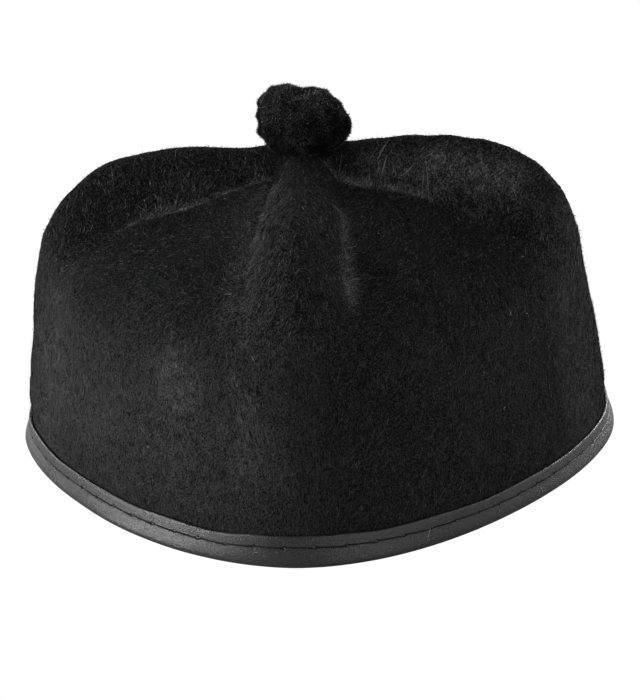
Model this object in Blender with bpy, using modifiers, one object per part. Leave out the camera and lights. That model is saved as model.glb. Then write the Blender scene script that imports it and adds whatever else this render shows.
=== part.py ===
"""Black moulded felt cap of the biretta kind: three-peaked crown, leatherette edge binding and wool pompom.

Metres, +Z up. The origin lies in the plane that the cap rests on, in the middle of its rim.
The wearer's face is towards -Y, where the front ridge runs down.
"""
import math

import bmesh
import bpy
import numpy as np
from mathutils import Matrix, Vector

# Plan of the rim, measured over the binding
RIM_HALF_WIDTH = 0.0920
RIM_HALF_LENGTH = 0.1012
FRONT_NARROWING = 0.14      # how much the oval narrows from middle to front, as a share
OVAL_ROUNDNESS = 1.84       # 2 is a plain ellipse, less is more pointed

# Felt crown
CROWN_HEIGHT = 0.0984
CROWN_CENTRE_HEIGHT = 0.0978
FELT_WALL = 0.0022
LEVEL_TOP_REACH = 0.40      # share of the radius inside which the ridges run level
SWELL_RUN = 0.0080          # height over which the felt swells out above the binding
DIMPLE_DEPTH = 0.0026       # dent at the centre, where the pompom is sewn down
DIMPLE_RADIUS = 0.0130

# Edge binding: a folded strip that grips the felt's lower edge
BINDING_HEIGHT = 0.0086
BINDING_INNER_HEIGHT = 0.0080
LEATHERETTE = 0.0010
FOLD_RADIUS = 0.0014

# Pompom
POMPOM_WIDTH = 0.0284
POMPOM_DEPTH = 0.0260
POMPOM_HEIGHT = 0.0222
POMPOM_SEAT_RADIUS = 0.0048  # flat underside that is sewn down on the crown

CLEARANCE = 0.0003          # gap between pieces that touch

# Sections of the crown from the rim to its centre. wall, top: heights as shares of CROWN_HEIGHT where the
# upright wall ends and where the section is highest. level: share of the radius inside which it stays at
# that height. roundness: 2 is a quarter circle, more is boxier. lean: how far the wall leans in by the full
# height, as a share of the radius.
PANEL = {"wall": 0.560, "top": 0.913, "level": 0.0, "roundness": 1.70, "lean": 0.166}
BACK_PANEL = {"wall": 0.220, "top": 0.900, "level": 0.0, "roundness": 1.65, "lean": 0.166}

# The three ridges. azimuth in degrees from +X. inner, outer: half width at the centre and at the rim, as
# shares of the rim's radius, and flare: the power by which it grows. crease: 0 is a sharp foot, more is a
# softer one, at the centre and at the rim.
RIDGES = [
    {"name": "right", "azimuth": 0, "wall": 0.528, "top": 1.011, "level": 0.4, "roundness": 3.38,
     "lean": 0.152, "inner": 0.125, "outer": 0.290, "flare": 5, "crease_inner": 0.0, "crease_outer": 1.4},
    {"name": "left", "azimuth": 180, "wall": 0.444, "top": 0.981, "level": 0.4, "roundness": 2.79,
     "lean": 0.105, "inner": 0.108, "outer": 0.290, "flare": 5, "crease_inner": 0.0, "crease_outer": 1.4},
    {"name": "front", "azimuth": 270, "wall": 0.380, "top": 0.965, "level": 0.4, "roundness": 2.20,
     "lean": 0.120, "inner": 0.117, "outer": 0.214, "flare": 1, "crease_inner": 0.35, "crease_outer": 1.2},
]

# The pompom's core, and the tufts round it: place of each tuft's middle across, back and up, and its size,
# all as shares of the pompom's half width, half depth and half height.
CORE_SHARE = 0.93
TUFTS = [
    {"name": "upper_left", "across": -0.50, "back": -0.05, "up": 0.42, "size": 0.58},
    {"name": "upper_right", "across": 0.18, "back": 0.00, "up": 0.33, "size": 0.52},
    {"name": "lower_right", "across": 0.44, "back": -0.10, "up": -0.03, "size": 0.55},
    {"name": "lower_left", "across": -0.46, "back": -0.12, "up": -0.12, "size": 0.57},
    {"name": "front", "across": 0.05, "back": -0.48, "up": -0.02, "size": 0.54},
    {"name": "back", "across": -0.03, "back": 0.46, "up": 0.05, "size": 0.56},
]

# Columns and rings of the crown's mesh
COLUMNS_PER_RIDGE = 8
COLUMNS_PER_FRONT_PANEL = 11
COLUMNS_BACK_PANEL = 30
WALL_RINGS = 4
SHOULDER_RINGS = 9
TOP_RINGS = 8
WALL_RUN = 0.30             # shares of the way from rim to centre at which the wall ends
SHOULDER_RUN = 0.78         # and the shoulder ends

FELT_COLOUR = (0.013, 0.013, 0.014, 1.0)
LEATHERETTE_COLOUR = (0.022, 0.022, 0.023, 1.0)
WOOL_COLOUR = (0.010, 0.010, 0.011, 1.0)


def ease(share):
    """Smooth step from 0 to 1."""
    share = np.clip(share, 0, 1)
    return share * share * (3 - 2 * share)


def rim_radius(azimuth):
    """Distance from the middle to the egg-shaped superellipse of the rim."""
    half_width = RIM_HALF_WIDTH * (1 + FRONT_NARROWING * np.sin(azimuth))
    across = np.abs(np.cos(azimuth) / half_width) ** OVAL_ROUNDNESS
    along = np.abs(np.sin(azimuth) / RIM_HALF_LENGTH) ** OVAL_ROUNDNESS
    return (across + along) ** (-1 / OVAL_ROUNDNESS)


def reach_at(run):
    """Share of the radius reached at a share of the way from the rim to the centre."""
    angle = np.clip((run - WALL_RUN) / (SHOULDER_RUN - WALL_RUN), 0, 1) * math.pi / 2
    shoulder = LEVEL_TOP_REACH + (1 - LEVEL_TOP_REACH) * np.cos(angle) ** 0.8
    inner = np.clip((run - SHOULDER_RUN) / (1 - SHOULDER_RUN), 0, 1)
    return np.where(run > SHOULDER_RUN, LEVEL_TOP_REACH * (1 - inner), shoulder)


def felt_foot():
    """Height of the felt's lower edge, just above the binding's fold."""
    return LEATHERETTE + 2 * CLEARANCE


def height_at(run, shape, dip):
    """Height of a section: upright wall, superellipse shoulder, and a rise or fall to the centre's height."""
    foot = felt_foot()
    wall = shape["wall"] * CROWN_HEIGHT
    top = shape["top"] * CROWN_HEIGHT
    share = np.clip((reach_at(run) - shape["level"]) / (1 - shape["level"]), 0, 1)
    shoulder = wall + (top - wall) * (1 - share ** shape["roundness"]) ** (1 / shape["roundness"])
    inner = ease((run - SHOULDER_RUN) / (1 - SHOULDER_RUN)) ** dip
    shoulder = shoulder + (CROWN_CENTRE_HEIGHT - top) * inner
    return np.where(run < WALL_RUN, foot + (wall - foot) * run / WALL_RUN, shoulder)


def ridge_half_width(ridge, reach):
    """Half width of a ridge, as a share of the radius, at the share of the radius that is reached."""
    return ridge["inner"] + (ridge["outer"] - ridge["inner"]) * reach ** ridge["flare"]


def ridge_weight(ridge, azimuth, reach):
    """Cross section of a ridge: 1 on its crest, falling as 1 - q squared to 0 at its foot."""
    turn = azimuth - math.radians(ridge["azimuth"])
    aside = reach * np.where(np.cos(turn) > 0, np.abs(np.sin(turn)), 1.0)
    q = aside / ridge_half_width(ridge, reach)
    softness = ridge["crease_inner"] + (ridge["crease_outer"] - ridge["crease_inner"]) * reach ** 4
    return np.clip(1 - q * q, 0, 1) ** (1 + softness)


def panel_shape(azimuth):
    """The panels' section, which grows rounder towards the back."""
    behind = np.clip(np.sin(azimuth), 0, 1) ** 2
    return {key: PANEL[key] + (BACK_PANEL[key] - PANEL[key]) * behind for key in PANEL}


def wall_lean(azimuth, reach):
    """How far the wall leans in at full height, as a share of the radius."""
    lean = panel_shape(azimuth)["lean"] + 0 * reach
    for ridge in RIDGES:
        lean = lean + ridge_weight(ridge, azimuth, reach) * (ridge["lean"] - lean)
    return lean


def wall_radius(azimuth, reach, height, inset):
    """Radius on the leaning wall or top, moved in by an inset."""
    leaned = rim_radius(azimuth) * reach * (1 - wall_lean(azimuth, reach) * height / CROWN_HEIGHT)
    return leaned - inset * ease(reach / LEVEL_TOP_REACH)


def crown_height(azimuth, run):
    """Height of the felt's outer face: the panels, with each ridge raised out of them, less the dimple."""
    reach = reach_at(run)
    height = height_at(run, panel_shape(azimuth), 3)
    for ridge in RIDGES:
        height = height + ridge_weight(ridge, azimuth, reach) * (height_at(run, ridge, 1) - height)
    return height - DIMPLE_DEPTH * ease(1 - rim_radius(azimuth) * reach / DIMPLE_RADIUS)


def crown_centre():
    """Height of the felt's outer face at the bottom of the dimple."""
    return CROWN_CENTRE_HEIGHT - DIMPLE_DEPTH


def crown_points(azimuth, run):
    """Points of the felt's outer face, drawn in where the binding grips it."""
    height = crown_height(azimuth, run)
    swell = ease((height - BINDING_HEIGHT) / SWELL_RUN)
    inset = CLEARANCE + LEATHERETTE * (1 - swell)
    radius = wall_radius(azimuth, reach_at(run), height, inset)
    return np.stack([radius * np.cos(azimuth), radius * np.sin(azimuth), height], axis=-1)


def column_azimuths(reach):
    """Azimuth of every column at a reach. Columns follow the ridges' crests and creases."""
    widest = math.radians(43)
    feet = [min(widest, math.asin(min(0.99, ridge_half_width(ridge, reach) / max(reach, 0.01))))
            for ridge in RIDGES]
    right, left, front = feet
    right_at, left_at, front_at = (math.radians(ridge["azimuth"]) for ridge in RIDGES)
    stops = [
        (right_at - right, right_at + right, COLUMNS_PER_RIDGE),
        (right_at + right, left_at - left, COLUMNS_BACK_PANEL),
        (left_at - left, left_at + left, COLUMNS_PER_RIDGE),
        (left_at + left, front_at - front, COLUMNS_PER_FRONT_PANEL),
        (front_at - front, front_at + front, COLUMNS_PER_RIDGE),
        (front_at + front, right_at + 2 * math.pi - right, COLUMNS_PER_FRONT_PANEL),
    ]
    return np.concatenate([np.linspace(start, end, count, endpoint=False) for start, end, count in stops])


def ring_runs():
    """Shares of the way from rim to centre at which the crown's rings lie."""
    foot = felt_foot()
    wall_height = min(shape["wall"] for shape in [PANEL, BACK_PANEL] + RIDGES) * CROWN_HEIGHT
    grip = WALL_RUN * (BINDING_HEIGHT - foot) / (wall_height - foot)
    swollen = WALL_RUN * (BINDING_HEIGHT + SWELL_RUN - foot) / (wall_height - foot)
    edge = [0.0, grip * 0.35, grip * 0.7, grip, (grip + swollen) / 2]
    wall = np.linspace(swollen, WALL_RUN, WALL_RINGS)
    shoulder = np.linspace(WALL_RUN, SHOULDER_RUN, SHOULDER_RINGS + 1)[1:]
    top = np.linspace(SHOULDER_RUN, 1, TOP_RINGS + 1)[1:-1]
    return np.concatenate([edge, wall, shoulder, top])


def lofted_mesh(name, rings, wrap, pole=None):
    """Mesh of quads between rings of points, each ring closed on itself.

    wrap joins the last ring to the first. pole is a point that closes the last ring.
    """
    mesh = bpy.data.meshes.new(name)
    shape = bmesh.new()
    rows = [[shape.verts.new(point) for point in ring] for ring in rings]
    columns = len(rows[0])
    pairs = list(zip(rows, rows[1:]))
    if wrap:
        pairs.append((rows[-1], rows[0]))
    for lower, upper in pairs:
        for i in range(columns):
            j = (i + 1) % columns
            shape.faces.new((lower[i], lower[j], upper[j], upper[i]))
    if pole is not None:
        tip = shape.verts.new(pole)
        for i in range(columns):
            shape.faces.new((rows[-1][i], rows[-1][(i + 1) % columns], tip))
    shape.to_mesh(mesh)
    shape.free()
    return mesh


def material(name, colour, roughness):
    """Plain finish of one colour and roughness."""
    finish = bpy.data.materials.new(name)
    finish.use_nodes = True
    shader = finish.node_tree.nodes["Principled BSDF"]
    shader.inputs["Base Color"].default_value = colour
    shader.inputs["Roughness"].default_value = roughness
    shader.inputs["Metallic"].default_value = 0.0
    return finish


def add_object(mesh, collection, finish, smooth_angle):
    """Object at the origin with one finish, shaded smooth below an angle."""
    mesh.materials.append(finish)
    mesh.shade_smooth()
    mesh.set_sharp_from_angle(angle=math.radians(smooth_angle))
    piece = bpy.data.objects.new(mesh.name, mesh)
    collection.objects.link(piece)
    return piece


def build_crown(collection, finish):
    """Felt shell: its outer face is lofted and Solidify gives the wall, inwards."""
    rings = []
    for run in ring_runs():
        azimuth = column_azimuths(float(reach_at(run)))
        rings.append(crown_points(azimuth, np.full_like(azimuth, run)))
    crown = add_object(lofted_mesh("crown", rings, False, (0, 0, crown_centre())), collection, finish, 60)
    wall = crown.modifiers.new("felt_wall", "SOLIDIFY")
    wall.thickness = FELT_WALL
    wall.offset = -1
    wall.use_even_offset = True
    return crown


def arc(inset, height, radius, start, end, steps):
    """Points of an arc in the binding's section, angles in degrees from straight inwards."""
    angles = np.radians(np.linspace(start, end, steps + 1))
    return [(inset + radius * math.cos(a), height + radius * math.sin(a)) for a in angles]


def binding_section():
    """Inset and height of each corner of the folded strip, from its flat land round to the inside."""
    half = LEATHERETTE / 2
    channel = LEATHERETTE + 2 * CLEARANCE + FELT_WALL
    inside = channel + LEATHERETTE
    points = arc(FOLD_RADIUS, FOLD_RADIUS, FOLD_RADIUS, 270, 180, 3)
    points += arc(half, BINDING_HEIGHT - half, half, 180, 0, 4)
    points += [(LEATHERETTE, LEATHERETTE), (channel, LEATHERETTE)]
    points += arc(channel + half, BINDING_INNER_HEIGHT - half, half, 180, 0, 4)
    points += arc(inside - FOLD_RADIUS, FOLD_RADIUS, FOLD_RADIUS, 0, -90, 3)
    return points


def build_binding(collection, finish):
    """Leatherette strip folded over the felt's lower edge, all round the rim."""
    azimuth = column_azimuths(1.0)
    rings = []
    for inset, height in binding_section():
        radius = wall_radius(azimuth, 1.0, height, inset)
        rings.append(np.stack([radius * np.cos(azimuth), radius * np.sin(azimuth),
                               np.full_like(azimuth, height)], axis=-1))
    return add_object(lofted_mesh("edge_binding", rings, True), collection, finish, 50)


def ball_mesh(name, half_sizes, centre, columns, rings):
    """Ball stretched to its half sizes about a centre."""
    mesh = bpy.data.meshes.new(name)
    shape = bmesh.new()
    matrix = Matrix.Translation(centre) @ Matrix.Diagonal((*half_sizes, 1.0))
    bmesh.ops.create_uvsphere(shape, u_segments=columns, v_segments=rings, radius=1.0, matrix=matrix)
    shape.to_mesh(mesh)
    shape.free()
    return mesh


def pompom_seat():
    """Height of the pompom's flat underside, clear of the felt out to the seat's radius."""
    seat_reach = POMPOM_SEAT_RADIUS / RIM_HALF_WIDTH
    run = 1 - (1 - SHOULDER_RUN) * seat_reach / LEVEL_TOP_REACH
    azimuth = np.linspace(0, 2 * math.pi, 72, endpoint=False)
    return float(crown_height(azimuth, np.full_like(azimuth, run)).max()) + CLEARANCE


def build_pompom(collection, cutters, finish):
    """Wad of wool: a core with tufts fused to it, pressed flat where it sits on the crown."""
    halves = Vector((POMPOM_WIDTH, POMPOM_DEPTH, POMPOM_HEIGHT)) / 2
    core = halves * CORE_SHARE
    seat = pompom_seat()
    sunk = core.z * (1 - math.sqrt(1 - (POMPOM_SEAT_RADIUS / core.x) ** 2))
    middle = Vector((0, 0, seat - sunk + core.z))
    mesh = ball_mesh("pompom", core, middle, 24, 16)
    for vertex in mesh.vertices:
        vertex.co.z = max(vertex.co.z, seat)
    pompom = add_object(mesh, collection, finish, 60)
    for tuft in TUFTS:
        offset = Vector((tuft["across"] * halves.x, tuft["back"] * halves.y, tuft["up"] * halves.z))
        piece_mesh = ball_mesh("tuft_" + tuft["name"], halves * tuft["size"], middle + offset, 16, 12)
        piece = bpy.data.objects.new(piece_mesh.name, piece_mesh)
        piece.hide_render = True
        piece.display_type = "WIRE"
        cutters.objects.link(piece)
        fuse = pompom.modifiers.new("fuse_" + tuft["name"], "BOOLEAN")
        fuse.operation = "UNION"
        fuse.object = piece
    return pompom


def main():
    for old in list(bpy.data.objects):
        bpy.data.objects.remove(old)
    cap = bpy.data.collections.new("clerical_cap")
    tufts = bpy.data.collections.new("tufts")
    bpy.context.scene.collection.children.link(cap)
    bpy.context.scene.collection.children.link(tufts)
    build_crown(cap, material("black_felt", FELT_COLOUR, 0.95))
    build_binding(cap, material("black_leatherette", LEATHERETTE_COLOUR, 0.38))
    build_pompom(cap, tufts, material("black_wool", WOOL_COLOUR, 1.0))


main()
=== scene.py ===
import math
import bpy
import numpy as np
from mathutils import Matrix, Vector


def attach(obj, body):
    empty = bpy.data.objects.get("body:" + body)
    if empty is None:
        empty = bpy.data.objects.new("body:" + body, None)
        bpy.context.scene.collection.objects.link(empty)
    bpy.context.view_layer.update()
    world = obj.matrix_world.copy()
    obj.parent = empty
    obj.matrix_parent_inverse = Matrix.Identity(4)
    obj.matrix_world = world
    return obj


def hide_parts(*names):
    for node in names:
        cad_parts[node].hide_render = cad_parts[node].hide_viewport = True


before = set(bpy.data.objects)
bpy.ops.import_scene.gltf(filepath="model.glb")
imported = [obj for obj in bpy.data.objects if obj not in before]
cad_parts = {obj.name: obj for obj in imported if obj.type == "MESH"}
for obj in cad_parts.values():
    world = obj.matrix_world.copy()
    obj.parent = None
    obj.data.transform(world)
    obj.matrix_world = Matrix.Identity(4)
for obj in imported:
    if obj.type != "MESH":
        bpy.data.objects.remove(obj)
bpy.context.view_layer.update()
print("frame loaded:", ", ".join(sorted(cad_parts)))

# rim of the cap over the binding, and the felt's moulded form, in metres and shares. They are the solids' own
# values, but for the feet of the two side ridges: outer, flare, creaseOuter and bulge were fitted later.
cap = {
    "rimHalfWidth": 0.0920,
    "rimHalfLength": 0.1012,
    "frontNarrowing": 0.14,
    "ovalRoundness": 1.84,
    "height": 0.0984,          # height that the sections' wall and top are shares of
    "centreHeight": 0.0978,
    "levelTopReach": 0.40,
    "swellRun": 0.0080,
    "dimpleDepth": 0.0026,     # dent at the centre, where the pompom is sewn down
    "dimpleRadius": 0.0130,
    "feltWall": 0.0022,
    "bindingHeight": 0.0086,
    "leatherette": 0.0010,
    "clearance": 0.0003,
    "wallRun": 0.30,          # share of the way from rim to centre where the wall ends
    "shoulderRun": 0.78,      # and where the shoulder ends
}
panelShape = {"wall": 0.560, "top": 0.913, "level": 0, "roundness": 1.70, "lean": 0.166}
backShape = {"wall": 0.220, "top": 0.900, "level": 0, "roundness": 1.65, "lean": 0.166}
ridges = [
    {"azimuth": 0, "wall": 0.528, "top": 1.011, "level": 0.4, "roundness": 3.38, "lean": 0.152,
     "inner": 0.125, "outer": 0.330, "flare": 4.5, "bulge": 0.024, "bulgeAt": 0.27, "bulgeReach": 0.10,
     "creaseInner": 0.0, "creaseOuter": 2.4},
    {"azimuth": 180, "wall": 0.444, "top": 0.981, "level": 0.4, "roundness": 2.79, "lean": 0.105,
     "inner": 0.108, "outer": 0.290, "flare": 5, "bulge": 0.070, "bulgeAt": 0.49, "bulgeReach": 0.18,
     "creaseInner": 0.0, "creaseOuter": 1.4},
    {"azimuth": 270, "wall": 0.380, "top": 0.965, "level": 0.4, "roundness": 2.20, "lean": 0.120,
     "inner": 0.117, "outer": 0.214, "flare": 1, "bulge": 0.0, "bulgeAt": 0.50, "bulgeReach": 0.20,
     "creaseInner": 0.35, "creaseOuter": 1.2},
]


# smooth step from 0 to 1: 3 s squared less 2 s cubed
def ease(share):
    share = np.clip(share, 0, 1)
    return share * share * (3 - 2 * share)


# rolling field: a sum of sine waves in seeded directions, roughly -1 to 1
def ripple(points, waveLength, seed, waves=9):
    draw = np.random.default_rng(seed)
    heading = draw.normal(size=(waves, 3))
    heading /= np.linalg.norm(heading, axis=1)[:, None]
    length = waveLength * draw.uniform(0.7, 1.5, waves)
    phase = draw.uniform(0, 2 * math.pi, waves)
    total = np.zeros(points.shape[:-1])
    for i in range(waves):
        total += np.sin(points @ heading[i] * (2 * math.pi / length[i]) + phase[i])
    return total / math.sqrt(waves)


# egg-shaped superellipse: radius where |x / a| ^ n + |y / b| ^ n = 1, a shrinking towards the front
def rimRadius(azimuth):
    halfWidth = cap["rimHalfWidth"] * (1 + cap["frontNarrowing"] * np.sin(azimuth))
    across = np.abs(np.cos(azimuth) / halfWidth) ** cap["ovalRoundness"]
    along = np.abs(np.sin(azimuth) / cap["rimHalfLength"]) ** cap["ovalRoundness"]
    return (across + along) ** (-1 / cap["ovalRoundness"])


# share of the radius reached: 1 up the wall, a cosine over the shoulder, then straight to 0
def reachAt(run):
    angle = np.clip((run - cap["wallRun"]) / (cap["shoulderRun"] - cap["wallRun"]), 0, 1) * math.pi / 2
    shoulder = cap["levelTopReach"] + (1 - cap["levelTopReach"]) * np.cos(angle) ** 0.8
    inner = np.clip((run - cap["shoulderRun"]) / (1 - cap["shoulderRun"]), 0, 1)
    return np.where(run > cap["shoulderRun"], cap["levelTopReach"] * (1 - inner), shoulder)


# height of one section: straight wall, superellipse shoulder, then an eased run to the centre
def heightAt(run, shape, dip):
    foot = cap["leatherette"] + 2 * cap["clearance"]
    wall = shape["wall"] * cap["height"]
    top = shape["top"] * cap["height"]
    share = np.clip((reachAt(run) - shape["level"]) / (1 - shape["level"]), 0, 1)
    shoulder = wall + (top - wall) * (1 - share ** shape["roundness"]) ** (1 / shape["roundness"])
    inner = ease((run - cap["shoulderRun"]) / (1 - cap["shoulderRun"])) ** dip
    shoulder = shoulder + (cap["centreHeight"] - top) * inner
    return np.where(run < cap["wallRun"], foot + (wall - foot) * run / cap["wallRun"], shoulder)


# half width of a ridge as a share of the radius: it flares by a power of the reach, and bulges on the way
def halfWidth(ridge, reach):
    bulge = ridge["bulge"] * np.exp(-((reach - ridge["bulgeAt"]) / ridge["bulgeReach"]) ** 2)
    return ridge["inner"] + (ridge["outer"] - ridge["inner"]) * reach ** ridge["flare"] + bulge


# cross section of a ridge: 1 - q squared, to a power that softens its foot
def ridgeWeight(ridge, azimuth, reach):
    turn = azimuth - math.radians(ridge["azimuth"])
    aside = reach * np.where(np.cos(turn) > 0, np.abs(np.sin(turn)), 1.0)
    q = aside / halfWidth(ridge, reach)
    softness = ridge["creaseInner"] + (ridge["creaseOuter"] - ridge["creaseInner"]) * reach ** 4
    return np.clip(1 - q * q, 0, 1) ** (1 + softness)


# the panels' section, rounder by sine squared towards the back
def panelAt(azimuth):
    behind = np.clip(np.sin(azimuth), 0, 1) ** 2
    return {key: panelShape[key] + (backShape[key] - panelShape[key]) * behind for key in panelShape}


def wallLean(azimuth, reach):
    lean = panelAt(azimuth)["lean"] + 0 * reach
    for ridge in ridges:
        lean = lean + ridgeWeight(ridge, azimuth, reach) * (ridge["lean"] - lean)
    return lean


# radius times reach, leaned in by height, less an inset that fades out towards the centre
def wallRadius(azimuth, reach, height, inset):
    leaned = rimRadius(azimuth) * reach * (1 - wallLean(azimuth, reach) * height / cap["height"])
    return leaned - inset * ease(reach / cap["levelTopReach"])


# felt's outer face: panel height, then each ridge blended in, drawn in where the binding grips it
def feltPoints(azimuth, run):
    reach = reachAt(run)
    height = heightAt(run, panelAt(azimuth), 3)
    for ridge in ridges:
        height = height + ridgeWeight(ridge, azimuth, reach) * (heightAt(run, ridge, 1) - height)
    height = height - cap["dimpleDepth"] * ease(1 - rimRadius(azimuth) * reach / cap["dimpleRadius"])
    swell = ease((height - cap["bindingHeight"]) / cap["swellRun"])
    inset = cap["clearance"] + cap["leatherette"] * (1 - swell)
    radius = wallRadius(azimuth, reach, height, inset)
    return np.stack([radius * np.cos(azimuth), radius * np.sin(azimuth), height], axis=-1)


# azimuth of each column on each ring, so that columns follow the ridges' crests and feet
def columnAzimuths(reach, perRidge, perPanel, perBack):
    feet = []
    for ridge in ridges:
        foot = np.arcsin(np.clip(halfWidth(ridge, reach) / np.maximum(reach, 0.01), 0, 0.99))
        feet.append(np.minimum(foot, math.radians(43)))
    right, left, front = feet
    rightAt, leftAt, frontAt = (math.radians(ridge["azimuth"]) for ridge in ridges)
    stops = [
        (rightAt - right, rightAt + right, perRidge),
        (rightAt + right, leftAt - left, perBack),
        (leftAt - left, leftAt + left, perRidge),
        (leftAt + left, frontAt - front, perPanel),
        (frontAt - front, frontAt + front, perRidge),
        (frontAt + front, rightAt + 2 * math.pi - right, perPanel),
    ]
    spans = []
    for start, end, count in stops:
        share = np.arange(count) / count
        spans.append(start[:, None] + (end - start)[:, None] * share[None, :])
    return np.concatenate(spans, axis=1)


# quads between rings of a grid of points, each ring closed on itself, and the last joined to the first by wrap
def gridFaces(ringCount, columnCount, wrap=False):
    ring = np.arange(ringCount if wrap else ringCount - 1)[:, None]
    column = np.arange(columnCount)[None, :]
    nextRing = (ring + 1) % ringCount
    nextColumn = (column + 1) % columnCount
    corners = [ring * columnCount + column, ring * columnCount + nextColumn,
               nextRing * columnCount + nextColumn, nextRing * columnCount + column]
    return np.stack([np.broadcast_to(c, (len(ring), columnCount)) for c in corners], axis=-1).reshape(-1, 4)


# triangles from a ring of points to the point that closes it
def fan(ring, count, tip, turned=False):
    first = np.arange(count)
    sides = [ring + first, ring + (first + 1) % count]
    return np.stack((sides[::-1] if turned else sides) + [np.full(count, tip)], axis=-1)


# mesh from arrays of points and of faces with the same number of corners each
def meshFrom(name, points, faceGroups):
    mesh = bpy.data.meshes.new(name)
    loops = np.concatenate([faces.ravel() for faces in faceGroups]).astype(np.int32)
    sizes = np.concatenate([np.full(len(faces), faces.shape[1]) for faces in faceGroups]).astype(np.int32)
    starts = np.concatenate([[0], np.cumsum(sizes)[:-1]]).astype(np.int32)
    mesh.vertices.add(len(points))
    mesh.vertices.foreach_set("co", np.ascontiguousarray(points, dtype=np.float32).ravel())
    mesh.loops.add(len(loops))
    mesh.loops.foreach_set("vertex_index", loops)
    mesh.polygons.add(len(sizes))
    mesh.polygons.foreach_set("loop_start", starts)
    mesh.update(calc_edges=True)
    mesh.validate()
    mesh.shade_smooth()
    return mesh


# a value for each point, kept in the mesh under a name
def keepValues(mesh, name, values):
    layer = mesh.attributes.new(name, "FLOAT", "POINT")
    layer.data.foreach_set("value", np.ascontiguousarray(values, dtype=np.float32).ravel())


def addPiece(mesh, finish, replaced=None):
    piece = bpy.data.objects.new(mesh.name, mesh)
    bpy.context.scene.collection.objects.link(piece)
    mesh.materials.append(finish)
    if replaced:
        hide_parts(replaced)
    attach(piece, "root")
    return piece


# camera, as the object was pictured
viewer = {
    "azimuth": 4.06,          # degrees round from the front
    "elevation": 21.1,
    "roll": 2.11,
    "distance": 1.35,
    "aim": (0.0017, 0, 0.0299),
    "lens": 222.3,
}


def addCamera():
    turn, tilt, roll = (math.radians(viewer[key]) for key in ("azimuth", "elevation", "roll"))
    back = Vector((math.sin(turn) * math.cos(tilt), -math.cos(turn) * math.cos(tilt), math.sin(tilt)))
    level = Vector((math.cos(turn), math.sin(turn), 0))
    upright = back.cross(level)
    right = level * math.cos(roll) - upright * math.sin(roll)
    up = level * math.sin(roll) + upright * math.cos(roll)
    data = bpy.data.cameras.new("camera")
    data.lens = viewer["lens"]
    data.sensor_width = 36
    data.clip_start = 0.05
    camera = bpy.data.objects.new("camera", data)
    place = Matrix.Translation(Vector(viewer["aim"]) + back * viewer["distance"])
    camera.matrix_world = place @ Matrix((right, up, back)).transposed().to_4x4()
    bpy.context.scene.collection.objects.link(camera)
    bpy.context.scene.camera = camera


def newGroup(name, inputs, outputs):
    tree = bpy.data.node_groups.new(name, "ShaderNodeTree")
    for label, kind, value in inputs:
        socket = tree.interface.new_socket(name=label, in_out="INPUT", socket_type="NodeSocket" + kind)
        if value is not None:
            socket.default_value = value
    for label, kind in outputs:
        tree.interface.new_socket(name=label, in_out="OUTPUT", socket_type="NodeSocket" + kind)
    return tree, tree.nodes.new("NodeGroupInput"), tree.nodes.new("NodeGroupOutput")


# one shader node with its settings; its inputs, by name or as i and a number, are linked or given a value
def node(tree, kind, settings=None, **inputs):
    made = tree.nodes.new("ShaderNode" + kind)
    for key, value in (settings or {}).items():
        setattr(made, key, value)
    for key, value in inputs.items():
        socket = made.inputs[int(key[1:]) if key[1:].isdigit() else key.replace("_", " ")]
        if isinstance(value, bpy.types.NodeSocket):
            tree.links.new(value, socket)
        else:
            socket.default_value = value
    return made


def times(tree, first, second):
    return node(tree, "Math", {"operation": "MULTIPLY"}, i0=first, i1=second).outputs[0]


def plus(tree, first, second):
    return node(tree, "Math", {"operation": "ADD"}, i0=first, i1=second).outputs[0]


def remap(tree, value, low, high, newLow=0.0, newHigh=1.0):
    made = node(tree, "MapRange", {"clamp": True}, Value=value, From_Min=low, From_Max=high)
    made.inputs["To Min"].default_value = newLow
    made.inputs["To Max"].default_value = newHigh
    return made.outputs[0]


def noise(tree, place, scale, detail=3.0, roughness=0.5):
    return node(tree, "TexNoise", Vector=place, Scale=scale, Detail=detail, Roughness=roughness).outputs[0]


def mixed(tree, share, first, second):
    return node(tree, "Mix", {"data_type": "FLOAT"}, i0=share, i2=first, i3=second).outputs[0]


def mixedColour(tree, share, first, second):
    return node(tree, "Mix", {"data_type": "RGBA"}, i0=share, i6=first, i7=second).outputs[2]


# a value kept in the mesh under a name
def attribute(tree, name):
    return node(tree, "Attribute", {"attribute_name": name}).outputs["Fac"]


def objectPlace(tree):
    return node(tree, "TexCoord").outputs["Object"]


def newFinish(name, **constants):
    finish = bpy.data.materials.new(name)
    finish.use_nodes = True
    shader = finish.node_tree.nodes["Principled BSDF"]
    for key, value in constants.items():
        shader.inputs[key.replace("_", " ")].default_value = value
    return finish, finish.node_tree, shader


studio = {
    "floorSize": 8,
    "paper": (0.82, 0.82, 0.82, 1),
    "shownWhite": 1.05,
    "worldStrength": 0.18,
    "underCap": (0.060, 0.076),     # paper inside the cap glows out to this radius, so that the lining shows
    "aim": (0, 0, 0.05),
    "lampSize": (0.6, 0.5),
    "lamps": [                      # name, place in metres, watts
        ("leftWindow", (-1.658, -0.292, 0.287), 20.0),
        ("leftFront", (-1.526, -0.712, 0.287), 6.4),
        ("rightFront", (1.082, -1.290, 0.287), 4.0),
        ("rightHigh", (1.206, -0.696, 1.025), 2.6),
        ("right", (1.582, 0.576, 0.287), 2.6),
        ("rightBehindHigh", (1.206, 0.696, 1.025), 2.9),
        ("rightBehind", (0.842, 1.458, 0.287), 9.5),
        ("behindHigh", (0.0, 1.393, 1.025), 6.8),
        ("leftBehind", (-1.190, 1.190, 0.287), 6.2),
    ],
}


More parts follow.
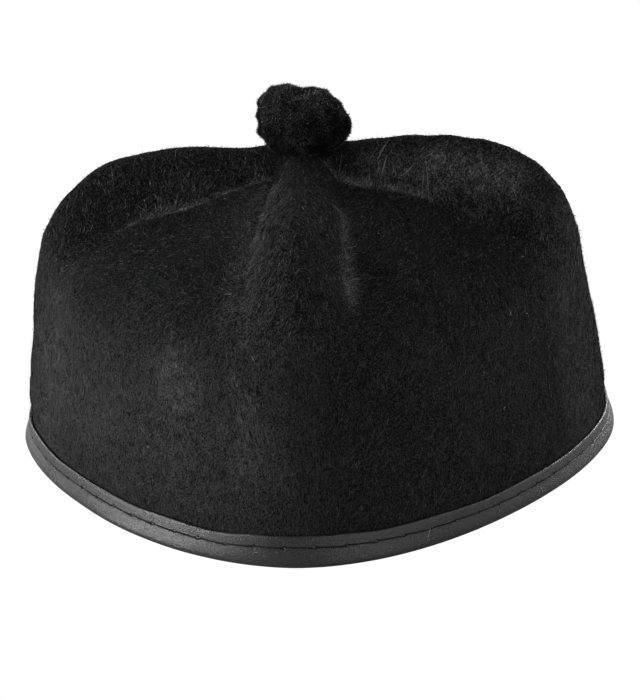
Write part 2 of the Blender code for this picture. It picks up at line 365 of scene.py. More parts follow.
# white to the camera, and another shader to everything else
def whiteForCamera(tree, kind, other):
    toCamera = node(tree, "LightPath").outputs["Is Camera Ray"]
    glow = node(tree, kind, Strength=studio["shownWhite"]).outputs[0]
    return node(tree, "MixShader", i0=toCamera, i1=other, i2=glow).outputs[0]


# paper that is clear from below, and lit inside the cap
def paperFinish():
    paper, tree, shader = newFinish(
        "whitePaper", Base_Color=studio["paper"], Roughness=0.9, Emission_Strength=1)
    radius = node(tree, "VectorMath", {"operation": "LENGTH"}, i0=objectPlace(tree)).outputs["Value"]
    tree.links.new(remap(tree, radius, *studio["underCap"], 1, 0), shader.inputs["Emission Color"])
    shown = whiteForCamera(tree, "Emission", shader.outputs[0])
    clear = node(tree, "BsdfTransparent").outputs[0]
    below = node(tree, "NewGeometry").outputs["Backfacing"]
    seen = node(tree, "MixShader", i0=below, i1=shown, i2=clear).outputs[0]
    tree.links.new(seen, tree.nodes["Material Output"].inputs["Surface"])
    return paper


def addStudio():
    world = bpy.data.worlds.new("studioWhite")
    world.use_nodes = True
    tree = world.node_tree
    tree.nodes.clear()
    dim = node(tree, "Background", Strength=studio["worldStrength"]).outputs[0]
    node(tree, "OutputWorld", Surface=whiteForCamera(tree, "Background", dim))
    bpy.context.scene.world = world

    half = studio["floorSize"] / 2
    mesh = bpy.data.meshes.new("floor")
    corners = [(-half, -half, 0), (half, -half, 0), (half, half, 0), (-half, half, 0)]
    mesh.from_pydata(corners, [], [(0, 1, 2, 3)])
    mesh.materials.append(paperFinish())
    floor = bpy.data.objects.new("floor", mesh)
    bpy.context.scene.collection.objects.link(floor)

    for name, place, power in studio["lamps"]:
        data = bpy.data.lights.new(name, "AREA")
        data.shape = "RECTANGLE"
        data.size, data.size_y = studio["lampSize"]
        data.energy = power
        light = bpy.data.objects.new(name, data)
        towards = (Vector(studio["aim"]) - Vector(place)).to_track_quat("-Z", "Y").to_matrix().to_4x4()
        light.matrix_world = Matrix.Translation(Vector(place)) @ towards
        bpy.context.scene.collection.objects.link(light)


addCamera()
addStudio()
bpy.context.scene.view_settings.view_transform = "Standard"
print("camera, floor and lights placed")


# fibres lying one way: noise drawn out along a direction, with its path bent by a slower noise
def makeLyingFibres():
    tree, given, out = newGroup("lyingFibres", [
        ("Coordinate", "Vector", None), ("Turn", "Vector", None),
        ("Fibres per Metre", "Float", 2600.0), ("Drawn Out", "Float", 0.12), ("Bend", "Float", 0.002),
    ], [("Value", "Float")])
    slow = node(tree, "TexNoise", Vector=given.outputs["Coordinate"], Scale=140.0, Detail=2.0)
    shift = node(tree, "VectorMath", {"operation": "SUBTRACT"},
                 i0=slow.outputs["Color"], i1=(0.5, 0.5, 0.5)).outputs[0]
    bent = node(tree, "VectorMath", {"operation": "MULTIPLY_ADD"},
                i0=shift, i1=given.outputs["Bend"], i2=given.outputs["Coordinate"])
    turned = node(tree, "VectorRotate", {"rotation_type": "EULER_XYZ"},
                  Vector=bent.outputs[0], Rotation=given.outputs["Turn"]).outputs[0]
    stretch = node(tree, "CombineXYZ", X=1.0, Y=1.0, Z=given.outputs["Drawn Out"]).outputs[0]
    drawn = node(tree, "VectorMath", {"operation": "MULTIPLY"}, i0=turned, i1=stretch).outputs[0]
    fine = noise(tree, drawn, given.outputs["Fibres per Metre"], 3.0, 0.6)
    tree.links.new(fine, out.inputs["Value"])
    return tree


# needled cloth: fibres lying three ways, chosen by a slow mask, over a fine grain and wide clouds
def makeNeedledCloth(lying):
    tree, given, out = newGroup("needledCloth", [
        ("Coordinate", "Vector", None),
        ("Grain per Metre", "Float", 1500.0), ("Cloud per Metre", "Float", 60.0),
    ], [("Fibre", "Float"), ("Cloud", "Float"), ("Height", "Float")])
    place = given.outputs["Coordinate"]

    def layer(turn, perMetre, drawn):
        return node(tree, "Group", {"node_tree": lying}, Coordinate=place, Turn=turn,
                    Fibres_per_Metre=perMetre, Drawn_Out=drawn).outputs[0]

    upright = layer((0.12, 0.1, 0), 2500.0, 0.16)
    slanted = layer((0.2, -0.75, 0.3), 2400.0, 0.17)
    level = layer((1.45, 0.2, 0.1), 2200.0, 0.18)
    choice = noise(tree, place, 85.0)
    first = mixed(tree, remap(tree, choice, 0.42, 0.52), upright, slanted)
    second = mixed(tree, remap(tree, choice, 0.53, 0.62), first, level)
    grain = noise(tree, place, given.outputs["Grain per Metre"], 3.0, 0.65)
    fibre = mixed(tree, 0.55, second, grain)
    cloud = noise(tree, place, given.outputs["Cloud per Metre"], 4.0, 0.6)
    height = plus(tree, fibre, times(tree, cloud, 0.4))
    tree.links.new(remap(tree, fibre, 0.45, 0.58), out.inputs["Fibre"])
    tree.links.new(remap(tree, cloud, 0.3, 0.7), out.inputs["Cloud"])
    tree.links.new(height, out.inputs["Height"])
    return tree


# colour between a dark and a light one by fibre and cloud, with painted light and shade: lighter, up to a grey,
# where the painted light and wear is above 0, darker where it is below
def makeClothColour():
    tree, given, out = newGroup("clothColour", [
        ("Dark", "Color", None), ("Light", "Color", None),
        ("Fibre", "Float", 0.5), ("Cloud", "Float", 0.5),
        ("Cloud Share", "Float", 0.3), ("Rubbed", "Float", 0.0),
    ], [("Color", "Color")])
    fibre, rubbed, cloudShare = (given.outputs[name] for name in ("Fibre", "Rubbed", "Cloud Share"))
    cloudy = times(tree, given.outputs["Cloud"], cloudShare)
    rest = node(tree, "Math", {"operation": "SUBTRACT"}, i0=1.0, i1=cloudShare).outputs[0]
    share = plus(tree, cloudy, times(tree, fibre, rest))
    # painted light and shade: the share is lifted above 0 and lowered below it
    lift = plus(tree, 1.0, times(tree, rubbed, 0.8))
    share = times(tree, share, lift)
    plain = mixedColour(tree, share, given.outputs["Dark"], given.outputs["Light"])
    # painted highlight: mixed towards a light grey where the painted light is strong
    bright = plus(tree, 0.03, times(tree, fibre, 0.17))
    withPaintedLight = mixedColour(tree, times(tree, rubbed, bright), plain, (0.30, 0.30, 0.305, 1))
    tree.links.new(withPaintedLight, out.inputs["Color"])
    return tree


lyingFibres = makeLyingFibres()
needledCloth = makeNeedledCloth(lyingFibres)
clothColour = makeClothColour()


# black cloth: needled pattern into colour, roughness and bump, or for fibres, with a tone of each one's own
def clothFinish(name, values, toned=False):
    finish, tree, shader = newFinish(
        name, Specular_IOR_Level=values["specular"], Sheen_Weight=values["sheen"],
        Sheen_Roughness=values["sheenRoughness"], Sheen_Tint=(1, 1, 1, 1))
    pattern = node(tree, "Group", {"node_tree": needledCloth}, Coordinate=objectPlace(tree),
                   Grain_per_Metre=values["grain"], Cloud_per_Metre=values["cloud"])
    fibre = pattern.outputs["Fibre"]
    if toned:
        fibre = times(tree, plus(tree, fibre, 0.4), attribute(tree, "tone"))
    else:
        crisp = attribute(tree, "crisp")
        gain = times(tree, plus(tree, crisp, 1.0), 0.5)
        fibre = times(tree, node(tree, "Math", {"operation": "POWER"}, i0=fibre, i1=crisp).outputs[0], gain)
        height = times(tree, pattern.outputs["Height"], plus(tree, 0.3, times(tree, crisp, 0.55)))
        bump = node(tree, "Bump", Height=height, Strength=values["bump"], Distance=values["bumpDistance"])
        tree.links.new(bump.outputs[0], shader.inputs["Normal"])
    # the colour carries the painted light and shade kept in the mesh
    colour = node(tree, "Group", {"node_tree": clothColour}, Dark=values["dark"], Light=values["light"],
                  Fibre=fibre, Cloud=pattern.outputs["Cloud"], Cloud_Share=values["cloudShare"],
                  Rubbed=attribute(tree, "rubbed"))
    tree.links.new(colour.outputs[0], shader.inputs["Base Color"])
    rough = values["roughness"]
    tree.links.new(remap(tree, fibre, 0, 1, rough, rough - 0.15), shader.inputs["Roughness"])
    return finish


crown = {
    "perRidge": 62, "perPanel": 60, "perBack": 166,      # columns
    "wallRings": 44, "shoulderRings": 62, "topRings": 30, "liningRings": 46,
    # slow unevenness of moulded felt, lumps and nap: height, wave length, seed and number of waves
    "swings": [(0.00030, 0.030, 11, 9), (0.00012, 0.009, 12, 14), (0.00005, 0.0032, 13, 20)],
    "woolFoot": (0, 0, 0.0960), "woolShade": 0.0138,     # painted shadow: the felt is darkened round the pompom's foot
}
# crispness of the grain, and where the top begins above the wall
grain = {"left": 0.55, "moreOnRight": 0.60, "back": 1.05, "top": 2.0, "topFoot": 0.056, "topRun": 0.018}
feltFinish = {
    "dark": (0.0006, 0.0006, 0.0007, 1), "light": (0.043, 0.043, 0.0435, 1), "cloudShare": 0.10,
    "specular": 0.07, "sheen": 0.018, "sheenRoughness": 0.5, "roughness": 0.98,
    "grain": 2100.0, "cloud": 60.0, "bump": 0.9, "bumpDistance": 0.0019,
}
# painted highlights along the ridges' feet, where the pressed creases catch the light: ridge, its side, offset,
# width, reach from and to, strength
paintedLightAlongFeet = [
    (1, 1, 0.0000, 0.0008, 0.14, 0.84, 2.30),
    (1, 1, -0.0014, 0.0032, 0.20, 0.90, 0.30),
    (0, -1, 0.0000, 0.0009, 0.10, 0.56, 5.00),
    (0, -1, -0.0020, 0.0040, 0.20, 0.85, 0.80),
    (0, 1, 0.0000, 0.0010, 0.15, 0.60, 1.60),
    (1, -1, 0.0000, 0.0010, 0.15, 0.65, 1.60),
    (2, -1, 0.0014, 0.0065, 0.20, 1.00, 1.40),
    (2, 1, -0.0006, 0.0022, 0.36, 0.92, 2.70),
]
# places painted light, partly rubbed felt, or painted shade where the strength is below 0: start, end, reach
# across the line, strength
paintedLightAndWearPlaces = [
    ((-0.0355, -0.0775, 0.0536), (-0.0365, -0.0785, 0.0490), 0.0085, 0.80),
    ((-0.0760, -0.0330, 0.0300), (-0.0260, -0.0880, 0.0300), 0.0240, 0.45),
    ((0.0400, -0.0060, 0.0930), (0.0640, -0.0070, 0.0890), 0.0052, 2.10),
    ((0.0200, -0.0060, 0.0930), (0.0750, -0.0110, 0.0780), 0.0065, 0.70),
    ((0.0163, -0.0630, 0.0745), (0.0170, -0.0660, 0.0725), 0.0026, 0.90),
    ((-0.0150, -0.0940, 0.0300), (-0.0130, -0.0820, 0.0690), 0.0050, 0.35),
    ((-0.0840, -0.0200, 0.0150), (-0.0780, -0.0180, 0.0620), 0.0110, 0.30),
    ((0.0850, -0.0180, 0.0150), (0.0780, -0.0150, 0.0650), 0.0130, 0.55),
    ((0.0000, -0.0450, 0.0860), (-0.0010, -0.0790, 0.0650), 0.0100, 0.50),
    ((-0.0580, -0.0250, 0.0760), (-0.0300, -0.0480, 0.0770), 0.0170, -0.36),
    ((-0.0740, -0.0040, 0.0790), (-0.0450, -0.0050, 0.0900), 0.0100, -0.35),
    ((0.0300, -0.0500, 0.0750), (0.0620, -0.0260, 0.0720), 0.0180, -0.28),
    ((-0.0300, 0.0750, 0.0650), (0.0100, 0.0850, 0.0600), 0.0110, 0.45),
]


def unit(vectors):
    return vectors / np.maximum(np.linalg.norm(vectors, axis=-1), 1e-12)[..., None]


# unit normals of a surface given on a grid: cross product of its two directions
def gridNormals(points):
    along = np.roll(points, -1, axis=1) - np.roll(points, 1, axis=1)
    up = np.gradient(points, axis=0)
    return unit(np.cross(along, up))


# distance from points to the stretch between two places
def awayFrom(points, start, end):
    start, end = np.array(start), np.array(end)
    share = np.clip((points - start) @ (end - start) / np.sum((end - start) ** 2), 0, 1)
    return np.linalg.norm(points - start - share[..., None] * (end - start), axis=-1)


# felt's outer face with the unevenness of real felt, which fades out inside the binding's grip
def unevenFelt(points, normals):
    rise = ease((points[..., 2] - cap["bindingHeight"]) / cap["swellRun"])
    swing = 0
    for height, waveLength, seed, waves in crown["swings"]:
        swing = swing + height * ripple(points, waveLength, seed, waves)
    return points + normals * (rise * swing)[..., None]


# painted light and wear at points: painted highlights along the creases and in places, partly rubbed felt, and
# painted shade where the strength is below 0 and round the pompom's foot: bell curves of the distance from each
# mark
def paintedLightAndWearAt(points, azimuth, run):
    reach = reachAt(run) + 0 * azimuth
    total = np.zeros(reach.shape)
    for index, side, offset, width, first, last, strength in paintedLightAlongFeet:
        ridge = ridges[index]
        turn = azimuth - math.radians(ridge["azimuth"])
        facing = (np.cos(turn) > 0) & (np.sin(turn) * side > 0)
        aside = (reach * np.abs(np.sin(turn)) - halfWidth(ridge, reach)) * rimRadius(azimuth) - offset
        ends = ease((reach - first) / 0.10) * ease((last - reach) / 0.18)
        total += facing * ends * strength * np.exp(-(aside / width) ** 2)
    for start, end, across, strength in paintedLightAndWearPlaces:
        total += strength * np.exp(-(awayFrom(points, start, end) / across) ** 2)
    # painted shadow round the pompom's foot
    paintedShadowUnderWool = np.exp(-(np.linalg.norm(points - crown["woolFoot"], axis=-1) / crown["woolShade"]) ** 4)
    patchy = 0.8 + 0.32 * ripple(points, 0.0040, 14, 24) + 0.30 * ripple(points, 0.0018, 15, 30)
    return total * np.clip(patchy, 0.1, 2) * (1 - paintedShadowUnderWool) - paintedShadowUnderWool


# how crisp the felt's grain is: a power, low where the wall is matted smooth, high on the panels and ridges
def crispAt(points):
    x, y, z = points[..., 0], points[..., 1], points[..., 2]
    right = ease((x - 0.004) / 0.020)
    behind = ease((y + 0.005) / 0.030)
    wall = grain["left"] + grain["moreOnRight"] * right
    wall = wall + (grain["back"] - wall) * behind
    return wall + (grain["top"] - wall) * ease((z - grain["topFoot"]) / grain["topRun"])


# closed shell: outer rings from foot to centre, lining rings a wall's thickness inside, joined at the foot
def buildCrown():
    runs = np.concatenate([
        np.linspace(0, cap["wallRun"], crown["wallRings"], endpoint=False),
        np.linspace(cap["wallRun"], cap["shoulderRun"], crown["shoulderRings"], endpoint=False),
        np.linspace(cap["shoulderRun"], 0.992, crown["topRings"])])
    azimuth = columnAzimuths(reachAt(runs), crown["perRidge"], crown["perPanel"], crown["perBack"])
    points = feltPoints(azimuth, runs[:, None])
    normals = gridNormals(points)
    outer = unevenFelt(points, normals)
    picked = np.unique(np.linspace(0, len(runs) - 1, crown["liningRings"]).round().astype(int))
    lining = points[picked] - normals[picked] * cap["feltWall"]
    lining[0, :, 2] = points[0, :, 2]
    columns = azimuth.shape[1]
    base = outer.shape[0] * columns
    tips = np.array([outer[-1].mean(axis=0), lining[-1].mean(axis=0)])
    vertices = np.concatenate([outer.reshape(-1, 3), lining.reshape(-1, 3), tips])
    first = np.arange(columns)
    after = (first + 1) % columns
    mesh = meshFrom("feltCrown", vertices, [
        gridFaces(len(runs), columns),
        gridFaces(len(picked), columns)[:, ::-1] + base,
        np.stack([first, base + first, base + after, after], axis=-1),
        fan(base - columns, columns, len(vertices) - 2),
        fan(len(vertices) - 2 - columns, columns, len(vertices) - 1, True)])
    marks = np.zeros(len(vertices))
    marks[:base] = paintedLightAndWearAt(outer, azimuth, runs[:, None]).ravel()
    keepValues(mesh, "rubbed", marks)
    keepValues(mesh, "crisp", crispAt(vertices))
    return addPiece(mesh, clothFinish("blackFelt", feltFinish), "crown")


buildCrown()
print("felt crown built")


strands = {         # short fibres needled flat, which make the grain
    "count": 48500, "steps": 2, "length": (0.0009, 0.0028), "width": (0.00011, 0.00023),
    "lift": (0.00002, 0.00014), "curl": 0.30, "roll": 0.45, "scatter": 17,
    "dimmest": 0.02, "rarity": 2.9, "seed": 21,          # how dim fibres get, and how rare the light ones are
}
hairs = {           # long thin fibres that lie loose on the surface
    "count": 6500, "steps": 5, "length": (0.003, 0.008), "width": (0.00004, 0.00008),
    "lift": (0.00006, 0.00028), "curl": 0.24, "roll": 0.3, "scatter": 26,
    "dimmest": 0.15, "rarity": 1.6, "seed": 23,
}
fuzz = {            # short ends that stand up
    "count": 34000, "steps": 2, "length": (0.0005, 0.0016), "width": (0.00005, 0.00010),
    "lift": (0.0002, 0.0011), "curl": 0.5, "roll": 0.0, "scatter": 180,
    "dimmest": 0.3, "rarity": 1.4, "seed": 22,
}
scratches = {       # straight fibres combed over the flanks of the side ridges
    "steps": 8, "length": (0.0055, 0.0095), "width": (0.00010, 0.00018), "lift": (0.00008, 0.00020),
    "curl": 0.015, "roll": 0.2, "scatter": 5, "dimmest": 0.45, "rarity": 1.0, "seed": 24,
    # azimuths in degrees and runs from and to, and how many
    "flanks": [(336, 346, 0.70, 0.86, 16), (186, 191, 0.60, 0.80, 3),
               (12, 24, 0.70, 0.85, 8), (156, 168, 0.66, 0.84, 8)],
}
strandFinish = dict(feltFinish, light=(0.112, 0.112, 0.113, 1), cloudShare=0.04, sheen=0.015)
scratchFinish = dict(strandFinish, light=(0.21, 0.21, 0.212, 1))


# places spread evenly by area over the felt above the binding: azimuth and run of each
def spreadOnFelt(count, draw):
    runs = np.linspace(0.045, 0.985, 400)
    turns = np.linspace(0, 2 * math.pi, 721)
    points = feltPoints(turns[None, :], runs[:, None])
    across = points[:-1, 1:] - points[:-1, :-1]
    upward = points[1:, :-1] - points[:-1, :-1]
    area = np.linalg.norm(np.cross(across, upward), axis=2)
    total = np.cumsum(area.ravel())
    cell = np.searchsorted(total, draw.uniform(0, total[-1], count))
    row, column = np.divmod(cell, area.shape[1])
    run = runs[row] + (runs[1] - runs[0]) * draw.uniform(0, 1, count)
    turn = turns[column] + (turns[1] - turns[0]) * draw.uniform(0, 1, count)
    return turn, run


# point, outward normal, and the two directions (round, and up towards the centre) with their rates
def feltFrame(turn, run):
    small = 0.0015
    point = feltPoints(turn, run)
    around = (feltPoints(turn + small, run) - feltPoints(turn - small, run)) / (2 * small)
    upward = (feltPoints(turn, run + small) - feltPoints(turn, run - small)) / (2 * small)
    normal = np.cross(around, upward)
    normal /= np.maximum(np.linalg.norm(normal, axis=1), 1e-9)[:, None]
    return point, normal, around, upward


combing = {          # in degrees, from straight round (0) to straight up (90)
    "wall": 90, "onRightWall": -28, "panel": 8, "onRightPanel": 20, "panelSwing": 26, "swing": 14,
    "ridges": [(-28, 0), (178, 0), (90, 36)],        # each ridge's lie, and how it parts at the crest
    "topFoot": 0.058, "topRun": 0.016,
}


# which way the fibres lie
def fibreLie(point, turn, scatter, draw):
    x, y, z = point[:, 0], point[:, 1], point[:, 2]
    onTop = ease((z - combing["topFoot"]) / combing["topRun"])
    right = ease(x / 0.02)
    lie = combing["wall"] + combing["onRightWall"] * right * (1 - onTop) * (y < 0.03)
    panels = combing["panel"] + combing["onRightPanel"] * right
    panels = panels + combing["panelSwing"] * ripple(point, 0.034, 31)
    lie = lie + onTop * (panels - lie)
    reach = np.clip(np.hypot(x, y) / rimRadius(turn), 0.05, 1)
    for ridge, (across, parting) in zip(ridges, combing["ridges"]):
        weight = ease(2.2 * ridgeWeight(ridge, turn, reach)) * onTop
        lie = lie + weight * (across + parting * np.tanh(x / 0.006) - lie)
    lie = lie + combing["swing"] * ripple(point, 0.020, 32) + draw.normal(0, 1, len(turn)) * scatter
    return np.radians(lie)


# ribbons from their middle lines: two edges a width apart, with quads between them
def ribbonMesh(name, lines, sides, widths, tone):
    count, steps = lines.shape[:2]
    taper = np.sin(np.linspace(0.25, 2.9, steps))[None, :, None]
    offset = sides * widths[:, None, None] * taper / 2
    points = np.stack([lines - offset, lines + offset], axis=2).reshape(-1, 3)
    first = (np.arange(count)[:, None] * steps + np.arange(steps - 1)[None, :]) * 2
    faces = np.stack([first, first + 1, first + 3, first + 2], axis=-1).reshape(-1, 4)
    mesh = meshFrom(name, points, [faces])
    keepValues(mesh, "tone", np.repeat(tone, steps * 2))
    return mesh


# fibres that follow the felt: each walks over the surface by its own heading and rises by its lift
def buildFibres(name, values, upright, finish, places=None):
    draw = np.random.default_rng(values["seed"])
    turn, run = places if places else spreadOnFelt(values["count"], draw)
    count = len(turn)
    point, normal, around, upward = feltFrame(turn, run)
    marks = paintedLightAndWearAt(point, turn, run)
    rarity = values["rarity"] * crispAt(point)
    lie = fibreLie(point, turn, values["scatter"], draw)
    bend = draw.normal(0, values["curl"], count)
    roll = draw.normal(0, values["roll"], count)[:, None]
    length = draw.uniform(*values["length"], count)
    lift = draw.uniform(*values["lift"], count)
    steps = values["steps"] + 1
    lines, sides = [], []
    for step in range(steps):
        share = step / (steps - 1)
        rise = lift * (share if upright else math.sin(math.pi * (0.15 + 0.7 * share)))
        felt = unevenFelt(point, normal)
        lines.append(felt + normal * rise[:, None])
        heading = unit(unit(around) * np.cos(lie)[:, None] + unit(upward) * np.sin(lie)[:, None])
        sides.append(unit(np.cross(normal, heading)) * np.cos(roll) + normal * np.sin(roll))
        stride = length / (steps - 1)
        turn = turn + stride * np.cos(lie) / np.maximum(np.linalg.norm(around, axis=1), 0.004)
        run = run + stride * np.sin(lie) / np.maximum(np.linalg.norm(upward, axis=1), 0.02)
        run = np.clip(run, 0.03, 0.99)
        lie = lie + bend
        point, normal, around, upward = feltFrame(turn, run)
    gain = (rarity + 1) / (values["rarity"] + 1)
    tone = values["dimmest"] + (1 - values["dimmest"]) * draw.uniform(0, 1, count) ** rarity * gain
    widths = draw.uniform(*values["width"], count) * (0.75 + 0.35 * rarity / values["rarity"])
    mesh = ribbonMesh(name, np.stack(lines, axis=1), np.stack(sides, axis=1), widths, tone)
    keepValues(mesh, "rubbed", np.repeat(marks, steps * 2))
    return addPiece(mesh, finish)


strandCloth = clothFinish("feltStrand", strandFinish, toned=True)
buildFibres("feltStrands", strands, False, strandCloth)
buildFibres("feltHairs", hairs, False, strandCloth)
buildFibres("feltFuzz", fuzz, True, strandCloth)


def buildScratches():
    draw = np.random.default_rng(scratches["seed"])
    turn = [draw.uniform(flank[0], flank[1], flank[4]) for flank in scratches["flanks"]]
    run = [draw.uniform(flank[2], flank[3], flank[4]) for flank in scratches["flanks"]]
    places = (np.radians(np.concatenate(turn)), np.concatenate(run))
    cloth = clothFinish("feltScratch", scratchFinish, toned=True)
    buildFibres("feltScratches", scratches, False, cloth, places)


buildScratches()
print("felt fibres laid")


thread = {
    "radius": 0.00009, "sides": 8, "perStitch": 14, "groove": 0.00055, "dip": 0.00095, "acrossStrip": 0.0048,
    "colour": (0.006, 0.006, 0.006, 1), "worn": (0.028, 0.028, 0.029, 1),
}
lint = {            # pale curled fibres caught in the felt and the binding
    "steps": 8, "length": (0.0008, 0.0022), "width": (0.00008, 0.00013), "lift": (0.0001, 0.0004),
    "curl": 0.55, "roll": 0.2, "scatter": 180, "dimmest": 0.45, "rarity": 1.0, "seed": 61, "strewn": 34,
    # azimuth in degrees and run of the curls and specks that are seen from the front
    "placed": [(353.1, 0.572), (324.4, 0.384), (352.9, 0.732), (297.0, 0.722), (301.5, 0.717),
               (341.1, 0.674), (341.9, 0.512), (190.9, 0.673), (245.4, 0.300), (330.0, 0.330),
               (312.0, 0.250), (262.0, 0.420)],
    # azimuth in degrees, height on the binding in metres, heading in degrees and length in metres
    "onBinding": [(293.4, 0.0022, 75, 0.0042), (325.1, 0.0022, 110, 0.0020), (310.8, 0.0026, 40, 0.0016),
                  (262.5, 0.0046, 10, 0.0012), (281.0, 0.0050, 160, 0.0010), (240.0, 0.0030, 60, 0.0014),
                  (20.0, 0.0030, 120, 0.0024), (75.0, 0.0036, 30, 0.0030), (130.0, 0.0024, 80, 0.0020)],
    "paintedGlints": (0.0053, 0.0004), "paintedGlintLength": (0.0002, 0.0006),     # painted glints of the thread at the holes, as pale specks: height and its spread
    "colour": (0.50, 0.50, 0.49, 1), "shaded": (0.225, 0.225, 0.2205, 1), "thick": 0.00016,
}
binding = {
    "columnsPerStitch": 18, "crowding": 0.7,
    # inset and height in millimetres: from the table up the outer face, round the rolled upper edge,
    # down and up the channel that holds the felt, and down the inner face
    "section": [
        (3.30, 0.00), (2.20, 0.00), (1.30, 0.05), (0.62, 0.36), (0.22, 1.05), (0.05, 1.95), (0.00, 2.95),
        (0.03, 3.90), (0.07, 4.70), (0.08, 5.12), (0.11, 5.29), (0.58, 5.39), (0.82, 5.50), (0.58, 5.61),
        (0.11, 5.71), (0.08, 5.88), (0.07, 6.55), (0.08, 7.30), (0.11, 7.95), (0.19, 8.36), (0.42, 8.60),
        (0.76, 8.57), (0.96, 8.15), (1.00, 4.5), (1.00, 1.00), (2.4, 1.00), (3.80, 1.00), (3.80, 4.5),
        (3.82, 7.45), (3.98, 7.88), (4.30, 8.00), (4.62, 7.86), (4.80, 7.40), (4.84, 6.50), (4.74, 5.95),
        (4.62, 5.62), (4.76, 5.30), (4.86, 4.30), (4.84, 2.60), (4.72, 1.30), (4.42, 0.50), (3.92, 0.06)],
    "pointsPerSpan": 2,
    "stitchHeight": 0.0055,
    "stitches": 64,
    "puckerDepth": 0.00004, "puckerReach": 0.0007,
    "middle": 0.0024, "outerFace": 0.00099, "innerFace": 0.00381,      # insets
    "holeTurn": 0.36, "holeSpread": 0.00075, "holeReach": 0.00040,     # holes open at the thread's dips
    "lipHeight": 0.00035,
    "creaseDepth": 0.000003, "creaseReach": 0.0022, "creaseLean": 0.0016,
    "waveLength": 0.045, "waveDepth": 0.00010, "dentLength": 0.007, "dentDepth": 0.000005,
    "edgeWave": 0.00010, "edgeWaveLength": 0.027,
    "rollMiddle": 0.0016, "rollReach": 0.0034,           # height of the lower roll and its reach up and down
    # azimuth in degrees, how far the upper edge stands up and the lower roll swells out there, in millimetres
    "unevenness": [(0, 0.0, 0.9), (30, 0.1, 0.5), (90, 0.3, 0.3), (150, 0.2, 0.4), (185, 0.0, 0.9),
                   (205, 0.1, 0.6), (216, 0.45, 0.35), (232, 0.5, 0.7), (244, 0.5, 0.5), (256, 0.4, 0.1),
                   (264, 1.2, 0.0), (270, 1.5, 0.1), (277, 0.9, 0.3), (285, 0.5, 0.45), (297, 0.15, 0.35),
                   (312, -0.35, 0.35), (345, -0.3, 0.7)],
    "stitchTilt": 0.00016, "riseAtStitch": 0.75,         # share of the upper edge's rise that the stitches take
}


# smooth closed curve through points: Catmull-Rom spans, each with a few points
def smoothLoop(points, perSpan):
    share = (np.arange(perSpan) / perSpan)[None, :, None]
    before, start, end, after = (np.roll(points, shift, axis=0)[:, None, :] for shift in (1, 0, -1, -2))
    curve = 2 * start + (end - before) * share + (2 * before - 5 * start + 4 * end - after) * share ** 2
    return ((curve + (3 * start - before - 3 * end + after) * share ** 3) / 2).reshape(-1, 2)


# azimuth and length round the rim, stitch by stitch, with more places near each hole: t less k sin t
def stitchRound(perStitch):
    fine = np.linspace(0, 2 * math.pi, 7201)
    radius = rimRadius(fine)
    line = np.stack([radius * np.cos(fine), radius * np.sin(fine)], axis=-1)
    length = np.concatenate([[0], np.cumsum(np.linalg.norm(np.diff(line, axis=0), axis=1))])
    phase = stitchPhase(length, length[-1])
    even = np.linspace(phase[0], phase[-1], binding["stitches"] * perStitch, endpoint=False)
    wanted = np.interp(even - binding["crowding"] * np.sin(even), phase, length)
    return np.interp(wanted, length, fine), wanted, length[-1]


# point at an inset and a height, at each azimuth, on the binding's leaning oval
def rimPoints(azimuth, inset, height):
    radius = wallRadius(azimuth, 1.0, height, inset)
    height = height + 0 * radius
    return np.stack([radius * np.cos(azimuth), radius * np.sin(azimuth), height], axis=-1)


# turn of the stitch pattern at each length round: a whole turn a stitch, with a little slip
def stitchPhase(length, whole):
    slip = 0.12 * np.sin(length / 0.083) + 0.08 * np.sin(length / 0.031 + 1.7)
    return 2 * math.pi * length / whole * binding["stitches"] + slip


# each stitch slants a little, so the line steps back at every hole: a falling saw between two holes
def stitchStep(phase):
    share = (phase / (2 * math.pi)) % 1
    ends = ease(share / 0.06) * ease((1 - share) / 0.06)
    return binding["stitchTilt"] * np.clip(1 - 2 * share, -1, 1) * ends


# rise of the upper edge and swell of the lower roll at each azimuth: eased between the table's places
def unevenRim(azimuth):
    table = np.array(binding["unevenness"] + [(360,) + binding["unevenness"][0][1:]])
    turn = np.degrees(azimuth) % 360
    at = np.clip(np.searchsorted(table[:, 0], turn, side="right") - 1, 0, len(table) - 2)
    share = ease((turn - table[at, 0]) / (table[at + 1, 0] - table[at, 0]))
    blended = table[at, 1:] + (table[at + 1, 1:] - table[at, 1:]) * share[..., None]
    return blended[..., 0] / 1000, blended[..., 1] / 1000


# how much of the lower roll's swell there is at each height: a tent
def lowerRoll(height):
    return np.clip(1 - np.abs(height - binding["rollMiddle"]) / binding["rollReach"], 0, 1)


